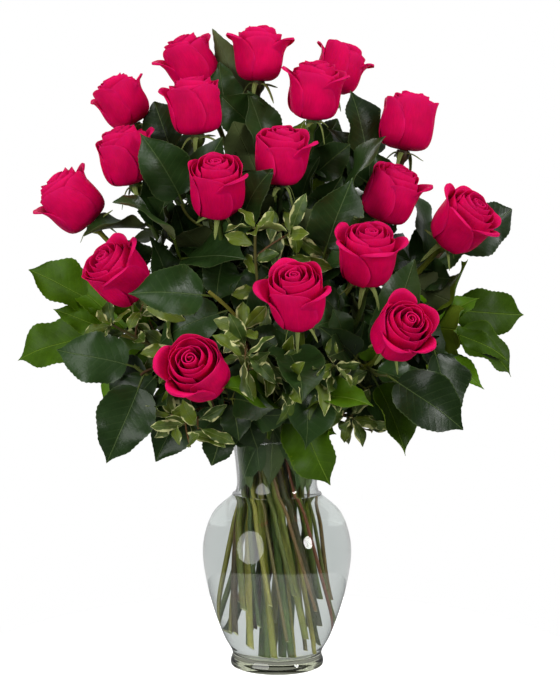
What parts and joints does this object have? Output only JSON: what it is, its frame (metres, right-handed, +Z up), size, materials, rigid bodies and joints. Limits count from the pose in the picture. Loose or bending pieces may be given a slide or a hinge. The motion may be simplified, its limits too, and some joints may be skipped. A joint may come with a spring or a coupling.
{
  "type": "roses in a vase",
  "caption": "Tall bunch of crimson long-stemmed roses with glossy broad leaves and small cream-edged twigs, standing in water in a clear round-bellied glass vase.",
  "frame": {"origin": "middle of the vase's foot, on the surface that it stands on", "axes": "+Z up the vase's axis, +X to the right and -Y towards somebody facing the flowers, which lean that way"},
  "size_m": [0.5116, 0.3827, 0.647],
  "materials": {
    "petal_red": "matte",
    "rose_green": "satin",
    "deep_leaf": "satin",
    "bright_leaf": "satin",
    "cream_edged_leaf": "satin",
    "clear_glass": "gloss",
    "clear_water": "gloss"
  },
  "bodies": {
    "root": {"vase": "clear_glass", "water": "clear_water", "rose_bloom_01": "petal_red", "rose_bloom_02": "petal_red", "rose_bloom_03": "petal_red", "rose_bloom_04": "petal_red", "rose_bloom_05": "petal_red", "rose_bloom_06": "petal_red", "rose_bloom_07": "petal_red", "rose_bloom_08": "petal_red", "rose_bloom_09": "petal_red", "rose_bloom_10": "petal_red", "rose_bloom_11": "petal_red", "rose_bloom_12": "petal_red", "rose_bloom_13": "petal_red", "rose_bloom_14": "petal_red", "rose_bloom_15": "petal_red", "rose_bloom_16": "petal_red", "rose_bloom_17": "petal_red", "rose_bloom_18": "petal_red", "rose_stem_01": "rose_green", "rose_stem_02": "rose_green", "rose_stem_03": "rose_green", "rose_stem_04": "rose_green", "rose_stem_05": "rose_green", "rose_stem_06": "rose_green", "rose_stem_07": "rose_green", "rose_stem_08": "rose_green", "rose_stem_09": "rose_green", "rose_stem_10": "rose_green", "rose_stem_11": "rose_green", "rose_stem_12": "rose_green", "rose_stem_13": "rose_green", "rose_stem_14": "rose_green", "rose_stem_15": "rose_green", "rose_stem_16": "rose_green", "rose_stem_17": "rose_green", "rose_stem_18": "rose_green", "broad_leaf_spray_01": "bright_leaf", "broad_leaf_spray_02": "deep_leaf", "broad_leaf_spray_03": "bright_leaf", "broad_leaf_spray_04": "deep_leaf", "broad_leaf_spray_05": "bright_leaf", "broad_leaf_spray_06": "deep_leaf", "broad_leaf_spray_07": "deep_leaf", "broad_leaf_spray_08": "deep_leaf", "broad_leaf_spray_09": "deep_leaf", "broad_leaf_spray_10": "deep_leaf", "broad_leaf_spray_11": "bright_leaf", "broad_leaf_spray_12": "deep_leaf", "broad_leaf_spray_13": "deep_leaf", "broad_leaf_spray_14": "deep_leaf", "variegated_twig_01": "cream_edged_leaf", "variegated_twig_02": "cream_edged_leaf", "variegated_twig_03": "cream_edged_leaf", "variegated_twig_04": "cream_edged_leaf", "variegated_twig_05": "cream_edged_leaf", "variegated_twig_06": "cream_edged_leaf", "variegated_twig_07": "cream_edged_leaf"}
  },
  "joints": []
}
